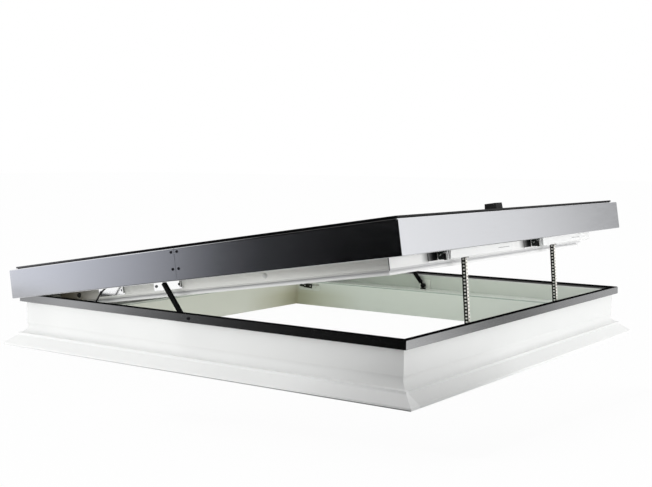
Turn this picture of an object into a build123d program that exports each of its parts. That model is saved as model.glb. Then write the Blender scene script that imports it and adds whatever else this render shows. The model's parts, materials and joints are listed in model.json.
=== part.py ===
from build123d import *
import os
from math import atan2, cos, degrees, hypot, radians, sin, tan

# Roof skylight: a moulded upstand with capped rim, and a glazed lid that two chain drives push open.
# Millimetres, +Z up, origin at the centre of the upstand's base.
# The hinges are on the +Y side. Lid pieces are drawn shut and swung open as they are written.

# Upstand section, as distances from the centre and heights
clear_half = 600
ledge_depth = 68
ledge_height = 98
wall_thickness = 20
upstand_height = 155
foot_reach = 52
foot_edge = 7
bead_reach = 20
bead_low = 31
bead_high = 38
flare_top = 68
rim_reach = 7
rim_low = 141
rim_bevel = 9

# Cap profiles and the gasket on them
cap_thickness = 3
cap_reach = 15
cap_depth = 22.5
gasket_inset = 1
gasket_base = 1
gasket_width = 12
gasket_bulb = 1.5
seat_gap = 0.3

# Hinges
lid_angle = 8.72
hinge_reach = 16
hinge_height = 122
hinge_spacing = 840
knuckle_radius = 8
knuckle_pitch = 28
leaf_width = 84
leaf_thickness = 4
leaf_low = 74
hinge_pin_radius = 4
hinge_pin_chamfer = 0.6
knuckle_gap = 0.3
running_gap = 0.05

# Sash section
sash_set = 13
sash_width = 38
sash_low = 100
sash_step_height = 112
sash_step = 7
sash_groove_height = 3
sash_groove_depth = 5
sash_top = 233
sash_web = 6
seat_half_width = 12
sash_wall = 4
rebate_reach = 34
rebate_height = 213.8

# Skirt, a folded sheet in two halves
skirt_reach = 29
skirt_thickness = 2
skirt_low = 145
skirt_bend = 3
skirt_return = 8
skirt_flange = 72
seam_place = 10
seam_gap = 1.2
splice_width = 60
rivet_spread = 11
rivet_low = 178
rivet_high = 225
rivet_radius = 2
rivet_head = 4.4
rivet_taper = 25

# Glass
edge_gasket_width = 46
edge_gasket_inset = 3
edge_gasket_height = 2.5
outer_pane_inset = 13
outer_pane_thickness = 5
inner_pane_inset = 6
inner_pane_thickness = 9
pane_gap = 0.2
spacer_inset = 10
spacer_width = 15
pane_corner = 6

# Polished plates on the sash sides, and their fixings
plate_thickness = 2.5
plate_low = 121
plate_height = 105
plate_width = 112
plate_corner = 4
plate_return = 8
strut_plate_place = 145
side_plate_place = 380
plate_screw_spread = 46
plate_screw_height = 13
screw_radius = 2.5
screw_head = 4.5
screw_head_height = 3
screw_edge = 1
screw_taper = 20
plug_places = (528, -215)
plug_height = 132
plug_radius = 8
plug_depth = 5
plug_taper = 30
cap_screw_drop = 11
cap_screw_place = -7

# Gas struts, in a plane beside the sash
strut_line = 652
strut_foot = (38, 112)
strut_head = (168, 216.3)
strut_tube_radius = 7.8
strut_bore_radius = 6.9
strut_tube_start = 14
strut_tube_end = 151
strut_plug = 10
strut_neck_radius = 4
strut_rod_radius = 3
strut_rod_length = 112
eye_radius = 8
eye_width = 12
stud_radius = 4
stud_collar = 7
stud_head = 6
stud_head_length = 2
foot_plate = 4
foot_plate_width = 50
foot_plate_height = 36

# Chain drives and chains
drive_reach = 33
drive_left_start = -376
drive_side_gap = 27
drive_length = 372
drive_gap = 7
drive_depth = 38
drive_low = 120
drive_high = 165
drive_corner = 4
drive_cap = 6
drive_pivot_height = 142
chain_offset = 94
pivot_radius = 3
pivot_length = 16
ear_thickness = 3
ear_gap = 4
ear_width = 13
ear_low = 119
ear_high = 175
bracket_reach = 46
bracket_thickness = 2.5
bracket_low = 121
bracket_high = 181
chain_anchor_height = 110
chain_pitch = 9.525
chain_plate = 2
chain_plate_height = 9
chain_inner_width = 8
chain_roller = 3.2
chain_block = 4.4
chain_block_width = 7.8
chain_pin = 2.4
chain_pin_head = 0.8
chain_fork_radius = 6
chain_slot_gap = 2
anchor_pin_radius = 3
anchor_ear = 4
anchor_ear_height = 7
anchor_base = 3
anchor_half_length = 18
anchor_half_width = 15
anchor_corner = 3

# Small brackets on the upstand's inner faces, near the hinges
wall_bracket_place = 532
wall_bracket_length = 104
wall_bracket_middle = 72
wall_bracket_width = 24
wall_bracket_thickness = 2.5
wall_bracket_slot = 26
wall_bracket_slot_width = 9
wall_bracket_spread = 30

# Rain sensor on the front edge of the glass
sensor_left = -172
sensor_width = 43
sensor_depth = 37
sensor_height = 16
sensor_inset = 1
sensor_corner = 3
sensor_taper = 4
sensor_edge = 1.5

# Motor lead between lid and frame, beside the left sash
lead_radius = 2.5
lead_bend_share = 0.45
gland_radius = 6
gland_length = 8
lead_route = (
    (-623.5, 358, 207),
    (-632, 358, 207),
    (-643, 368, 203),
    (-649, 386, 190),
    (-651, 403, 170),
    (-650, 418, 148),
    (-648, 428, 131),
    (-649, 432, 120),
    (-654, 434, 113),
    (-660, 434, 113),
)

# Sizes that follow
inner_half = clear_half + ledge_depth
wall_half = inner_half + wall_thickness
foot_half = wall_half + foot_reach
cap_top = upstand_height + cap_thickness
cap_outer = wall_half + cap_reach
gasket_inner = wall_half + gasket_inset
seat_low = cap_top + gasket_base + gasket_bulb + seat_gap
hinge_place = wall_half + hinge_reach
sash_outer = clear_half + sash_set
sash_inner = sash_outer - sash_width
seat_in = wall_half - seat_half_width
seat_out = wall_half + seat_half_width
skirt_half = wall_half + skirt_reach
outer_pane_half = skirt_half - outer_pane_inset
edge_gasket_out = outer_pane_half - edge_gasket_inset
edge_gasket_in = edge_gasket_out - edge_gasket_width
inner_pane_half = sash_outer - inner_pane_inset
spacer_in = sash_inner + spacer_inset
spacer_out = spacer_in + spacer_width
drive_line = sash_outer + drive_reach
drive_in = sash_outer + drive_gap
drive_out = drive_in + drive_depth
drive_places = (drive_left_start, sash_outer - drive_side_gap - drive_length)
skirt_top = sash_top + skirt_thickness
pane_low = skirt_top + edge_gasket_height
pane_top = pane_low + outer_pane_thickness
inner_pane_low = rebate_height + pane_gap
spacer_low = inner_pane_low + inner_pane_thickness
plate_face = sash_outer + plate_thickness
chain_half_width = chain_inner_width / 2 + 2 * chain_plate

FRONT, RIGHT, REAR, LEFT = -90, 0, 90, 180
SIDES = {"front": FRONT, "right": RIGHT, "rear": REAR, "left": LEFT}
HANDS = {"left": -1, "right": 1}


def swing(place, angle):
    """A turn about the X direction through (y, z) that lifts what lies on the -Y side."""
    there = Location((0, place[0], place[1]))
    back = Location((0, -place[0], -place[1]))
    return there * Rotation(-angle, 0, 0) * back


def swung(point, place, angle):
    """Where a (y, z) point goes when it is swung about a (y, z) place."""
    dy = point[0] - place[0]
    dz = point[1] - place[1]
    turn = radians(angle)
    return place[0] + dy * cos(turn) + dz * sin(turn), place[1] - dy * sin(turn) + dz * cos(turn)


hinge = (hinge_place, hinge_height)
lid_open = swing(hinge, lid_angle)
shut = Location()

# The strut's upper pivot when the lid is open, and the strut's slope
strut_top = swung(strut_head, hinge, lid_angle)
strut_rise = degrees(atan2(strut_top[1] - strut_foot[1], strut_top[0] - strut_foot[0]))

# The chain runs from its anchor pin through the drive's pivot
chain_foot = (-drive_line, chain_anchor_height)
drive_pivot = (-drive_line, drive_pivot_height)
drive_pivot_open = swung(drive_pivot, hinge, lid_angle)
chain_rise = drive_pivot_open[1] - chain_foot[1]
chain_lean = degrees(atan2(drive_pivot_open[0] - chain_foot[0], chain_rise))
chain_length = hypot(drive_pivot_open[0] - chain_foot[0], chain_rise)
drive_shift = Location((0, drive_pivot_open[0] - drive_pivot[0], drive_pivot_open[1] - drive_pivot[1]))
drive_tilt = drive_shift * swing(drive_pivot, chain_lean)
chain_swing = swing(chain_foot, chain_lean)


def save(part, name, place=shut):
    """Writes one named piece, moved to where it rests."""
    piece = part.moved(place)
    piece.label = name
    export_step(piece, f"parts/{name}.step")


def outward(angle):
    return cos(radians(angle)), sin(radians(angle)), 0


def section_plane(angle):
    """Section of one side: x runs outward from the centre and y runs up."""
    return Plane(origin=(0, 0, 0), x_dir=outward(angle), z_dir=outward(angle - 90))


def face_plane(angle, distance):
    """Face of one side at a distance from the centre: y runs up and z runs outward."""
    x, y, _ = outward(angle)
    return Plane(origin=(x * distance, y * distance, 0), x_dir=outward(angle + 90), z_dir=(x, y, 0))


def mitred_side(angle, section, reach):
    """One side of a square ring, mitred at both corners."""
    with BuildPart() as side:
        with BuildSketch(section_plane(angle)):
            add(section)
        extrude(amount=reach, both=True)
        for turn in (-45, 45):
            split(bisect_by=Plane(origin=(0, 0, 0), z_dir=outward(angle + turn)), keep=Keep.TOP)
    return side.part


def square_ring(section, reach):
    """Four mitred sides joined into one ring."""
    sides = [mitred_side(angle, section, reach) for angle in SIDES.values()]
    with BuildPart() as ring:
        add(sides)
    return ring.part


def upstand_section():
    bead = (wall_half + bead_reach, bead_high)
    with BuildSketch() as section:
        with BuildLine():
            foot = Polyline(
                (clear_half, 0),
                (foot_half, 0),
                (foot_half, foot_edge),
                (wall_half + bead_reach, bead_low),
                bead,
            )
            flare = TangentArc(bead, (wall_half, flare_top), tangent=(-1, 0))
            Polyline(
                flare @ 1,
                (wall_half, rim_low),
                (wall_half + rim_reach, rim_low + rim_reach),
                (wall_half + rim_reach, upstand_height),
                (wall_half, upstand_height),
                (inner_half, upstand_height - rim_bevel),
                (inner_half, ledge_height),
                (clear_half, ledge_height),
                foot @ 0,
            )
        make_face()
    return section.sketch


def cap_section():
    with BuildSketch() as section:
        with BuildLine():
            Polyline(
                (wall_half, upstand_height),
                (wall_half, cap_top),
                (cap_outer, cap_top),
                (cap_outer, cap_top - cap_depth),
                (cap_outer - cap_thickness, cap_top - cap_depth),
                (cap_outer - cap_thickness, upstand_height),
                close=True,
            )
        make_face()
    return section.sketch


def gasket_section():
    base = cap_top + gasket_base
    outer = gasket_inner + gasket_width
    bulb_line = gasket_inner + gasket_bulb
    with BuildSketch() as section:
        with BuildLine():
            flat = Polyline(
                (gasket_inner, base),
                (gasket_inner, cap_top),
                (outer, cap_top),
                (outer, base),
                (bulb_line + gasket_bulb, base),
            )
            ThreePointArc(flat @ 1, (bulb_line, base + gasket_bulb), flat @ 0)
        make_face()
    return section.sketch


def sash_section():
    web_low = sash_top - sash_web
    rebate = sash_inner + rebate_reach
    lip_face = sash_outer - sash_step
    groove_low = sash_step_height - sash_groove_height
    chambers = (
        (sash_inner, sash_outer, sash_step_height, rebate_height),
        (seat_in, seat_out, seat_low, web_low + sash_wall),
    )
    with BuildSketch() as section:
        with BuildLine():
            Polyline(
                (sash_inner, sash_low),
                (lip_face, sash_low),
                (lip_face, groove_low),
                (lip_face - sash_groove_depth, groove_low),
                (lip_face - sash_groove_depth, sash_step_height),
                (sash_outer, sash_step_height),
                (sash_outer, web_low),
                (seat_in, web_low),
                (seat_in, seat_low),
                (seat_out, seat_low),
                (seat_out, sash_top),
                (rebate, sash_top),
                (rebate, rebate_height),
                (sash_inner, rebate_height),
                close=True,
            )
        make_face()
        for inner, outer, low, high in chambers:
            with Locations(((inner + outer) / 2, (low + high) / 2)):
                Rectangle(outer - inner - 2 * sash_wall, high - low - 2 * sash_wall, mode=Mode.SUBTRACT)
    return section.sketch


def skirt_section():
    """The folded sheet, drawn along its middle line."""
    middle = skirt_half - skirt_thickness / 2
    with BuildSketch() as section:
        with BuildLine():
            FilletPolyline(
                (skirt_half - skirt_return, skirt_low + skirt_thickness / 2),
                (middle, skirt_low + skirt_thickness / 2),
                (middle, skirt_top - skirt_thickness / 2),
                (skirt_half - skirt_flange, skirt_top - skirt_thickness / 2),
                radius=skirt_bend - skirt_thickness / 2,
            )
        trace(line_width=skirt_thickness)
    return section.sketch


def frame_pieces():
    save(square_ring(upstand_section(), foot_half), "upstand")
    screw_height = cap_top - cap_screw_drop
    screw_planes = []
    for hand in HANDS.values():
        origin = (hand * cap_outer, cap_screw_place, screw_height)
        screw_planes.append(Plane(origin=origin, x_dir=(0, 1, 0), z_dir=(hand, 0, 0)))
    for name, angle in SIDES.items():
        bar = mitred_side(angle, cap_section(), cap_outer)
        with BuildPart() as cap:
            add(bar)
            with BuildSketch(*screw_planes):
                Circle(screw_radius + running_gap)
            extrude(amount=2 * cap_thickness, both=True, mode=Mode.SUBTRACT)
        save(cap.part, f"cap_{name}")
    save(square_ring(gasket_section(), cap_outer), "frame_gasket")
    with BuildPart() as cap_screws:
        with BuildSketch(*screw_planes):
            Circle(screw_head)
        extrude(amount=screw_head_height)
        fillet(cap_screws.edges().group_by(Axis.X)[0] + cap_screws.edges().group_by(Axis.X)[-1], screw_edge)
        with BuildSketch(*screw_planes):
            Circle(screw_radius)
        extrude(amount=-cap_thickness)
    save(cap_screws.part, "cap_screws")


def hinge_pieces(name, hand):
    """A three-knuckle hinge: the middle knuckle on the frame leaf, the outer two on the lid leaf."""
    centre = hand * hinge_spacing / 2
    axis = Plane(origin=(centre, *hinge), x_dir=(0, 1, 0), z_dir=(1, 0, 0))
    outer_half = leaf_width / 2
    inner_half_width = knuckle_pitch / 2

    with BuildPart() as frame_leaf:
        with BuildSketch(axis):
            with Locations((-hinge_reach + leaf_thickness / 2, (leaf_low - hinge_height) / 2)):
                Rectangle(leaf_thickness, hinge_height - leaf_low)
        extrude(amount=outer_half, both=True)
        with BuildSketch(axis):
            with Locations((-hinge_reach / 2, 0)):
                Rectangle(hinge_reach, knuckle_radius)
            Circle(knuckle_radius)
        extrude(amount=inner_half_width - knuckle_gap, both=True)
        with BuildSketch(axis):
            Circle(hinge_pin_radius + running_gap)
        extrude(amount=outer_half, both=True, mode=Mode.SUBTRACT)
    save(frame_leaf.part, f"hinge_frame_leaf_{name}")

    with BuildPart() as pin:
        with BuildSketch(axis):
            Circle(hinge_pin_radius)
        extrude(amount=outer_half + leaf_thickness / 2, both=True)
        chamfer(pin.edges(), hinge_pin_chamfer)
    save(pin.part, f"hinge_pin_{name}")

    plate_middle = skirt_half - skirt_thickness - seat_gap - leaf_thickness / 2
    arm_height = (seat_low + sash_top) / 2
    with BuildPart() as lid_leaf:
        with BuildSketch(Plane(origin=(centre, 0, 0), x_dir=(0, 1, 0), z_dir=(1, 0, 0))):
            with BuildLine():
                FilletPolyline(
                    (plate_middle, hinge_height),
                    (plate_middle, arm_height),
                    (seat_out + leaf_thickness / 2, arm_height),
                    (seat_out + leaf_thickness / 2, seat_low + leaf_thickness),
                    radius=leaf_thickness,
                )
            trace(line_width=leaf_thickness)
        extrude(amount=outer_half, both=True)
        with BuildSketch(axis):
            Circle(knuckle_radius)
            with Locations(((plate_middle - hinge_place) / 2, knuckle_radius / 4)):
                Rectangle(abs(plate_middle - hinge_place), knuckle_radius / 2)
        extrude(amount=outer_half, both=True)
        with BuildSketch(axis):
            Circle(knuckle_radius + leaf_thickness)
        extrude(amount=inner_half_width, both=True, mode=Mode.SUBTRACT)
        with BuildSketch(axis):
            Circle(hinge_pin_radius + running_gap)
        extrude(amount=outer_half, both=True, mode=Mode.SUBTRACT)
    save(lid_leaf.part, f"hinge_lid_leaf_{name}", lid_open)


def sash_pieces():
    for name, angle in SIDES.items():
        save(mitred_side(angle, sash_section(), seat_out), f"sash_{name}", lid_open)


def skirt_pieces():
    ring = square_ring(skirt_section(), skirt_half)
    seam = Plane(origin=(0, seam_place, 0), x_dir=(1, 0, 0), z_dir=(0, 1, 0))
    rivet_points = [(side * rivet_spread, z) for side in (-1, 1) for z in (rivet_low, rivet_high)]

    def rivet_planes(distance):
        planes = []
        for hand in (-1, 1):
            planes.append(
                Plane(origin=(hand * distance, seam_place, 0), x_dir=(0, hand, 0), z_dir=(hand, 0, 0))
            )
        return planes

    for name, keep, side in (("front", Keep.BOTTOM, -1), ("rear", Keep.TOP, 1)):
        with BuildPart() as skirt:
            add(ring)
            split(bisect_by=seam.offset(side * seam_gap / 2), keep=keep)
            with BuildSketch(*rivet_planes(skirt_half)):
                with Locations(*rivet_points):
                    Circle(rivet_radius + running_gap)
            extrude(amount=-skirt_thickness, mode=Mode.SUBTRACT)
            with BuildSketch(Plane.XY.offset(skirt_low)):
                with GridLocations(hinge_spacing, 0, 2, 1):
                    with Locations((0, skirt_half - skirt_thickness - skirt_return / 2)):
                        Rectangle(leaf_width + 4 * seat_gap, skirt_return)
            extrude(amount=skirt_bend, mode=Mode.SUBTRACT)
        save(skirt.part, f"skirt_{name}", lid_open)

    splice_low = skirt_low + skirt_bend + skirt_thickness
    splice_high = skirt_top - skirt_bend - skirt_thickness
    for name, hand in HANDS.items():
        face = Plane(
            origin=(hand * (skirt_half - skirt_thickness), seam_place, 0),
            x_dir=(0, hand, 0),
            z_dir=(hand, 0, 0),
        )
        with BuildPart() as splice:
            with BuildSketch(face):
                with Locations((0, (splice_low + splice_high) / 2)):
                    RectangleRounded(splice_width, splice_high - splice_low, skirt_bend)
                with Locations(*rivet_points):
                    Circle(rivet_radius + running_gap, mode=Mode.SUBTRACT)
            extrude(amount=-skirt_thickness)
        save(splice.part, f"splice_{name}", lid_open)

    with BuildPart() as rivets:
        with BuildSketch(*rivet_planes(skirt_half)):
            with Locations(*rivet_points):
                Circle(rivet_head)
        extrude(amount=rivet_radius, taper=rivet_taper)
        with BuildSketch(*rivet_planes(skirt_half)):
            with Locations(*rivet_points):
                Circle(rivet_radius)
        extrude(amount=-2 * skirt_thickness)
        with BuildSketch(*rivet_planes(skirt_half - 2 * skirt_thickness)):
            with Locations(*rivet_points):
                Circle(rivet_head)
        extrude(amount=-rivet_radius / 2)
    save(rivets.part, "splice_rivets", lid_open)


def square_plate(half, low, high, hole_half=None):
    with BuildPart() as plate:
        with BuildSketch(Plane.XY.offset(low)):
            RectangleRounded(2 * half, 2 * half, pane_corner)
            if hole_half:
                RectangleRounded(2 * hole_half, 2 * hole_half, pane_corner, mode=Mode.SUBTRACT)
        extrude(amount=high - low)
    return plate.part


def glass_pieces():
    save(square_plate(edge_gasket_out, skirt_top, pane_low, edge_gasket_in), "edge_gasket", lid_open)
    save(square_plate(outer_pane_half, pane_low, pane_top), "outer_pane", lid_open)
    save(square_plate(spacer_out, spacer_low, pane_low, spacer_in), "glass_spacer", lid_open)
    save(square_plate(inner_pane_half, inner_pane_low, spacer_low), "inner_pane", lid_open)


def sash_plate_pieces(name, hand):
    """Polished plates beside the sash; the forward one carries the strut's stud."""
    face = Plane(origin=(hand * sash_outer, 0, 0), x_dir=(0, hand, 0), z_dir=(hand, 0, 0))

    def at(y, z):
        return hand * y, z

    plate_middle = plate_low + plate_height / 2
    screw_z = plate_low + plate_screw_height
    for kind, place in (("strut_plate", strut_plate_place), ("side_plate", side_plate_place)):
        with BuildPart() as plate:
            with BuildSketch(face):
                with Locations(at(place, plate_middle)):
                    RectangleRounded(plate_width, plate_height, plate_corner)
                for spread in (-plate_screw_spread, plate_screw_spread):
                    with Locations(at(place + spread, screw_z)):
                        Circle(screw_radius + running_gap, mode=Mode.SUBTRACT)
            extrude(amount=plate_thickness)
            with BuildSketch(face):
                with Locations(at(place - (plate_width - plate_thickness) / 2, plate_middle)):
                    Rectangle(plate_thickness, plate_height - 2 * plate_corner)
            extrude(amount=plate_thickness + plate_return)
            if kind == "strut_plate":
                stud = face.offset(plate_thickness)
                collar_length = strut_line - eye_width / 2 - seat_gap - plate_face
                with BuildSketch(stud):
                    with Locations(at(*strut_head)):
                        Circle(stud_collar)
                extrude(amount=collar_length)
                with BuildSketch(stud.offset(collar_length)):
                    with Locations(at(*strut_head)):
                        Circle(stud_radius)
                extrude(amount=eye_width + 2 * seat_gap)
                with BuildSketch(stud.offset(collar_length + eye_width + 2 * seat_gap)):
                    with Locations(at(*strut_head)):
                        Circle(stud_head)
                extrude(amount=stud_head_length)
        save(plate.part, f"{kind}_{name}", lid_open)


def sash_fixings():
    """Screws of the polished plates, and the plugs over the sash's own screws."""
    screw_z = plate_low + plate_screw_height
    screw_places = []
    for place in (strut_plate_place, side_plate_place):
        for spread in (-plate_screw_spread, plate_screw_spread):
            screw_places.append(place + spread)

    def both_sides(places, height, distance):
        planes = []
        for hand in (-1, 1):
            for place in places:
                origin = (hand * distance, place, height)
                planes.append(Plane(origin=origin, x_dir=(0, hand, 0), z_dir=(hand, 0, 0)))
        return planes

    with BuildPart() as screws:
        with BuildSketch(*both_sides(screw_places, screw_z, plate_face)):
            Circle(screw_head)
        extrude(amount=screw_head_height, taper=screw_taper)
        with BuildSketch(*both_sides(screw_places, screw_z, plate_face)):
            Circle(screw_radius)
        extrude(amount=-plate_thickness)
    save(screws.part, "plate_screws", lid_open)

    with BuildPart() as plugs:
        with BuildSketch(*both_sides(plug_places, plug_height, sash_outer)):
            Circle(plug_radius)
        extrude(amount=plug_depth, taper=plug_taper)
    save(plugs.part, "sash_plugs", lid_open)


def strut_pieces(name, hand):
    """A gas strut: tube pinned to the frame, rod pinned to the lid, both in the plane of strut_line."""
    inward = -hand
    wall = Plane(origin=(hand * inner_half, *strut_foot), x_dir=(0, inward, 0), z_dir=(inward, 0, 0))
    collar_length = inner_half - foot_plate - strut_line - eye_width / 2 - seat_gap
    with BuildPart() as foot:
        with BuildSketch(wall):
            with Locations((0, foot_plate_height / 2 + ledge_height - strut_foot[1])):
                RectangleRounded(foot_plate_width, foot_plate_height, plate_corner)
        extrude(amount=foot_plate)
        with BuildSketch(wall.offset(foot_plate)):
            Circle(stud_collar)
        extrude(amount=collar_length)
        with BuildSketch(wall.offset(foot_plate + collar_length)):
            Circle(stud_radius)
        extrude(amount=eye_width + 2 * seat_gap)
        with BuildSketch(wall.offset(foot_plate + collar_length + eye_width + 2 * seat_gap)):
            Circle(stud_head)
        extrude(amount=stud_head_length)
    save(foot.part, f"strut_foot_{name}")

    along = outward(strut_rise)
    line = (0, along[0], along[1])

    def eye_end(point, direction):
        """An eye for the pin, with the round neck that leaves it."""
        across = Plane(origin=point, x_dir=(0, 1, 0), z_dir=(1, 0, 0))
        with BuildPart() as eye:
            with BuildSketch(Plane(origin=point, x_dir=(1, 0, 0), z_dir=direction)):
                Circle(strut_neck_radius)
            extrude(amount=strut_tube_start)
            with BuildSketch(across):
                Circle(eye_radius)
            extrude(amount=eye_width / 2, both=True)
            with BuildSketch(across):
                Circle(stud_radius + running_gap)
            extrude(amount=eye_width, both=True, mode=Mode.SUBTRACT)
        return eye.part

    low_point = Vector(hand * strut_line, *strut_foot)
    low_eye = eye_end(low_point, line)
    with BuildPart() as tube:
        add(low_eye)
        barrel = Plane(origin=low_point + Vector(line) * strut_tube_start, x_dir=(1, 0, 0), z_dir=line)
        with BuildSketch(barrel):
            Circle(strut_tube_radius)
        extrude(amount=strut_tube_end - strut_tube_start)
        with BuildSketch(barrel.offset(strut_plug)):
            Circle(strut_bore_radius)
        extrude(amount=strut_tube_end, mode=Mode.SUBTRACT)
    save(tube.part, f"strut_tube_{name}")

    high_point = Vector(hand * strut_line, *strut_top)
    down = (0, -along[0], -along[1])
    high_eye = eye_end(high_point, down)
    neck_end = high_point + Vector(down) * strut_tube_start
    with BuildPart() as rod:
        add(high_eye)
        with BuildSketch(Plane(origin=neck_end, x_dir=(1, 0, 0), z_dir=down)):
            Circle(strut_rod_radius)
        extrude(amount=strut_rod_length - strut_tube_start)
    save(rod.part, f"strut_rod_{name}")


def wall_bracket_piece(name, hand):
    """A flat plate on the inner face, with a slot between two screw holes."""
    face = Plane(
        origin=(hand * clear_half, wall_bracket_place, wall_bracket_middle),
        x_dir=(0, -hand, 0),
        z_dir=(-hand, 0, 0),
    )
    with BuildPart() as bracket:
        with BuildSketch(face):
            SlotOverall(wall_bracket_length, wall_bracket_width)
            with Locations((-wall_bracket_spread, 0), (wall_bracket_spread, 0)):
                Circle(screw_radius, mode=Mode.SUBTRACT)
            SlotOverall(wall_bracket_slot, wall_bracket_slot_width, mode=Mode.SUBTRACT)
        extrude(amount=wall_bracket_thickness)
    save(bracket.part, f"wall_bracket_{name}")


def drive_pieces(name, start):
    """A chain drive: housing with end caps and pivot stubs, held by a polished bracket at each end."""
    end = start + drive_length
    middle_line = (drive_in + drive_out) / 2
    middle_height = (drive_low + drive_high) / 2
    slot_x = chain_plate_height / 2 + chain_slot_gap
    slot_y = chain_half_width + chain_slot_gap

    with BuildPart() as housing:
        with BuildSketch(Plane(origin=(start + drive_cap, 0, 0), x_dir=(0, -1, 0), z_dir=(-1, 0, 0))):
            with Locations((middle_line, middle_height)):
                RectangleRounded(drive_out - drive_in, drive_high - drive_low, drive_corner)
        extrude(amount=-(drive_length - 2 * drive_cap))
        with BuildSketch(Plane.XY.offset(drive_low)):
            with Locations((start + chain_offset, -drive_line)):
                Rectangle(2 * slot_x, 2 * slot_y)
        extrude(amount=drive_pivot_height - drive_low + 2 * chain_slot_gap, mode=Mode.SUBTRACT)
    save(housing.part, f"drive_housing_{name}", drive_tilt)

    with BuildPart() as ends:
        for face_x, side in ((start + drive_cap, -1), (end - drive_cap, 1)):
            face = Plane(origin=(face_x, 0, 0), x_dir=(0, -1, 0), z_dir=(-1, 0, 0))
            with BuildSketch(face):
                with Locations((middle_line, middle_height)):
                    RectangleRounded(drive_out - drive_in, drive_high - drive_low, drive_corner)
            extrude(amount=-side * drive_cap)
            with BuildSketch(face):
                with Locations((drive_line, drive_pivot_height)):
                    Circle(pivot_radius)
            extrude(amount=-side * (drive_cap + pivot_length))
    save(ends.part, f"drive_ends_{name}", drive_tilt)

    with BuildPart() as bracket:
        for edge, side in ((start, -1), (end, 1)):
            with BuildSketch(face_plane(FRONT, sash_outer)):
                with Locations((edge + side * bracket_reach / 2, (bracket_low + bracket_high) / 2)):
                    Rectangle(bracket_reach, bracket_high - bracket_low)
            extrude(amount=bracket_thickness)
            ear = edge + side * (ear_gap + ear_thickness / 2)
            with BuildSketch(Plane(origin=(ear, 0, 0), x_dir=(0, -1, 0), z_dir=(-1, 0, 0))):
                with Locations((drive_line, (ear_low + ear_high) / 2)):
                    Rectangle(ear_width, ear_high - ear_low)
                with Locations(((sash_outer + drive_line) / 2, ear_high - ear_width / 2)):
                    Rectangle(drive_line - sash_outer, ear_width)
                with Locations((drive_line, drive_pivot_height)):
                    Circle(pivot_radius + running_gap, mode=Mode.SUBTRACT)
            extrude(amount=ear_thickness / 2, both=True)
    save(bracket.part, f"drive_bracket_{name}", lid_open)


def chain_pieces(name, start):
    """A chain of plates and rollers that stands on its anchor pin and runs up into the drive."""
    place = start + chain_offset
    fork_length = chain_pitch
    links = int((chain_length - fork_length) / chain_pitch)
    face = Plane(origin=(place, *chain_foot), x_dir=(1, 0, 0), z_dir=(0, -1, 0))
    across = Plane(origin=(place, *chain_foot), x_dir=(0, 1, 0), z_dir=(1, 0, 0))
    inner_face = chain_inner_width / 2
    outer_face = inner_face + chain_plate

    with BuildPart() as chain:
        with BuildSketch(face):
            with Locations((0, fork_length / 2)):
                Rectangle(chain_plate_height, fork_length)
        extrude(amount=inner_face, both=True)
        with BuildSketch(across):
            Circle(chain_fork_radius)
        extrude(amount=chain_fork_radius, both=True)
        with BuildSketch(across):
            Circle(anchor_pin_radius + running_gap)
        extrude(amount=chain_fork_radius, both=True, mode=Mode.SUBTRACT)
        for parity, near in ((0, outer_face), (1, inner_face)):
            middles = [(0, fork_length + (link + 0.5) * chain_pitch) for link in range(parity, links, 2)]
            for side in (-1, 1):
                with BuildSketch(face.offset(side * near)):
                    with Locations(*middles):
                        SlotCenterToCenter(chain_pitch, chain_plate_height, rotation=90)
                extrude(amount=side * chain_plate)
        pins = [(0, fork_length + link * chain_pitch) for link in range(links)]
        with BuildSketch(face):
            with Locations(*[(0, height + chain_pitch / 2) for _, height in pins[:-1]]):
                Rectangle(chain_block_width, chain_block)
        extrude(amount=inner_face, both=True)
        for radius, reach in (
            (chain_roller, inner_face),
            (chain_pin, outer_face + chain_plate + chain_pin_head),
        ):
            with BuildSketch(face):
                with Locations(*pins):
                    Circle(radius)
            extrude(amount=reach, both=True)
    save(chain.part, f"chain_{name}", chain_swing)

    fork_half = chain_fork_radius + seat_gap
    base_top = ledge_height + anchor_base
    with BuildPart() as anchor:
        with BuildSketch(Plane.XY.offset(ledge_height)):
            with Locations((place, -drive_line)):
                RectangleRounded(2 * anchor_half_length, 2 * anchor_half_width, anchor_corner)
        extrude(amount=anchor_base)
        for hand in (-1, 1):
            with BuildSketch(across.offset(hand * fork_half)):
                Circle(anchor_ear_height)
                with Locations((0, (base_top - chain_anchor_height) / 2)):
                    Rectangle(2 * anchor_ear_height, chain_anchor_height - base_top)
            extrude(amount=hand * anchor_ear)
        with BuildSketch(across):
            Circle(anchor_pin_radius)
        extrude(amount=fork_half + anchor_ear + seat_gap, both=True)
    save(anchor.part, f"chain_anchor_{name}")


def sensor_piece():
    front = -(outer_pane_half - sensor_inset)
    with BuildPart() as sensor:
        with BuildSketch(Plane.XY.offset(pane_top)):
            with Locations((sensor_left + sensor_width / 2, front + sensor_depth / 2)):
                RectangleRounded(sensor_width, sensor_depth, sensor_corner)
        extrude(amount=sensor_height, taper=sensor_taper)
        fillet(sensor.faces().sort_by(Axis.Z)[-1].edges(), sensor_edge)
    save(sensor.part, "rain_sensor", lid_open)


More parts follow.
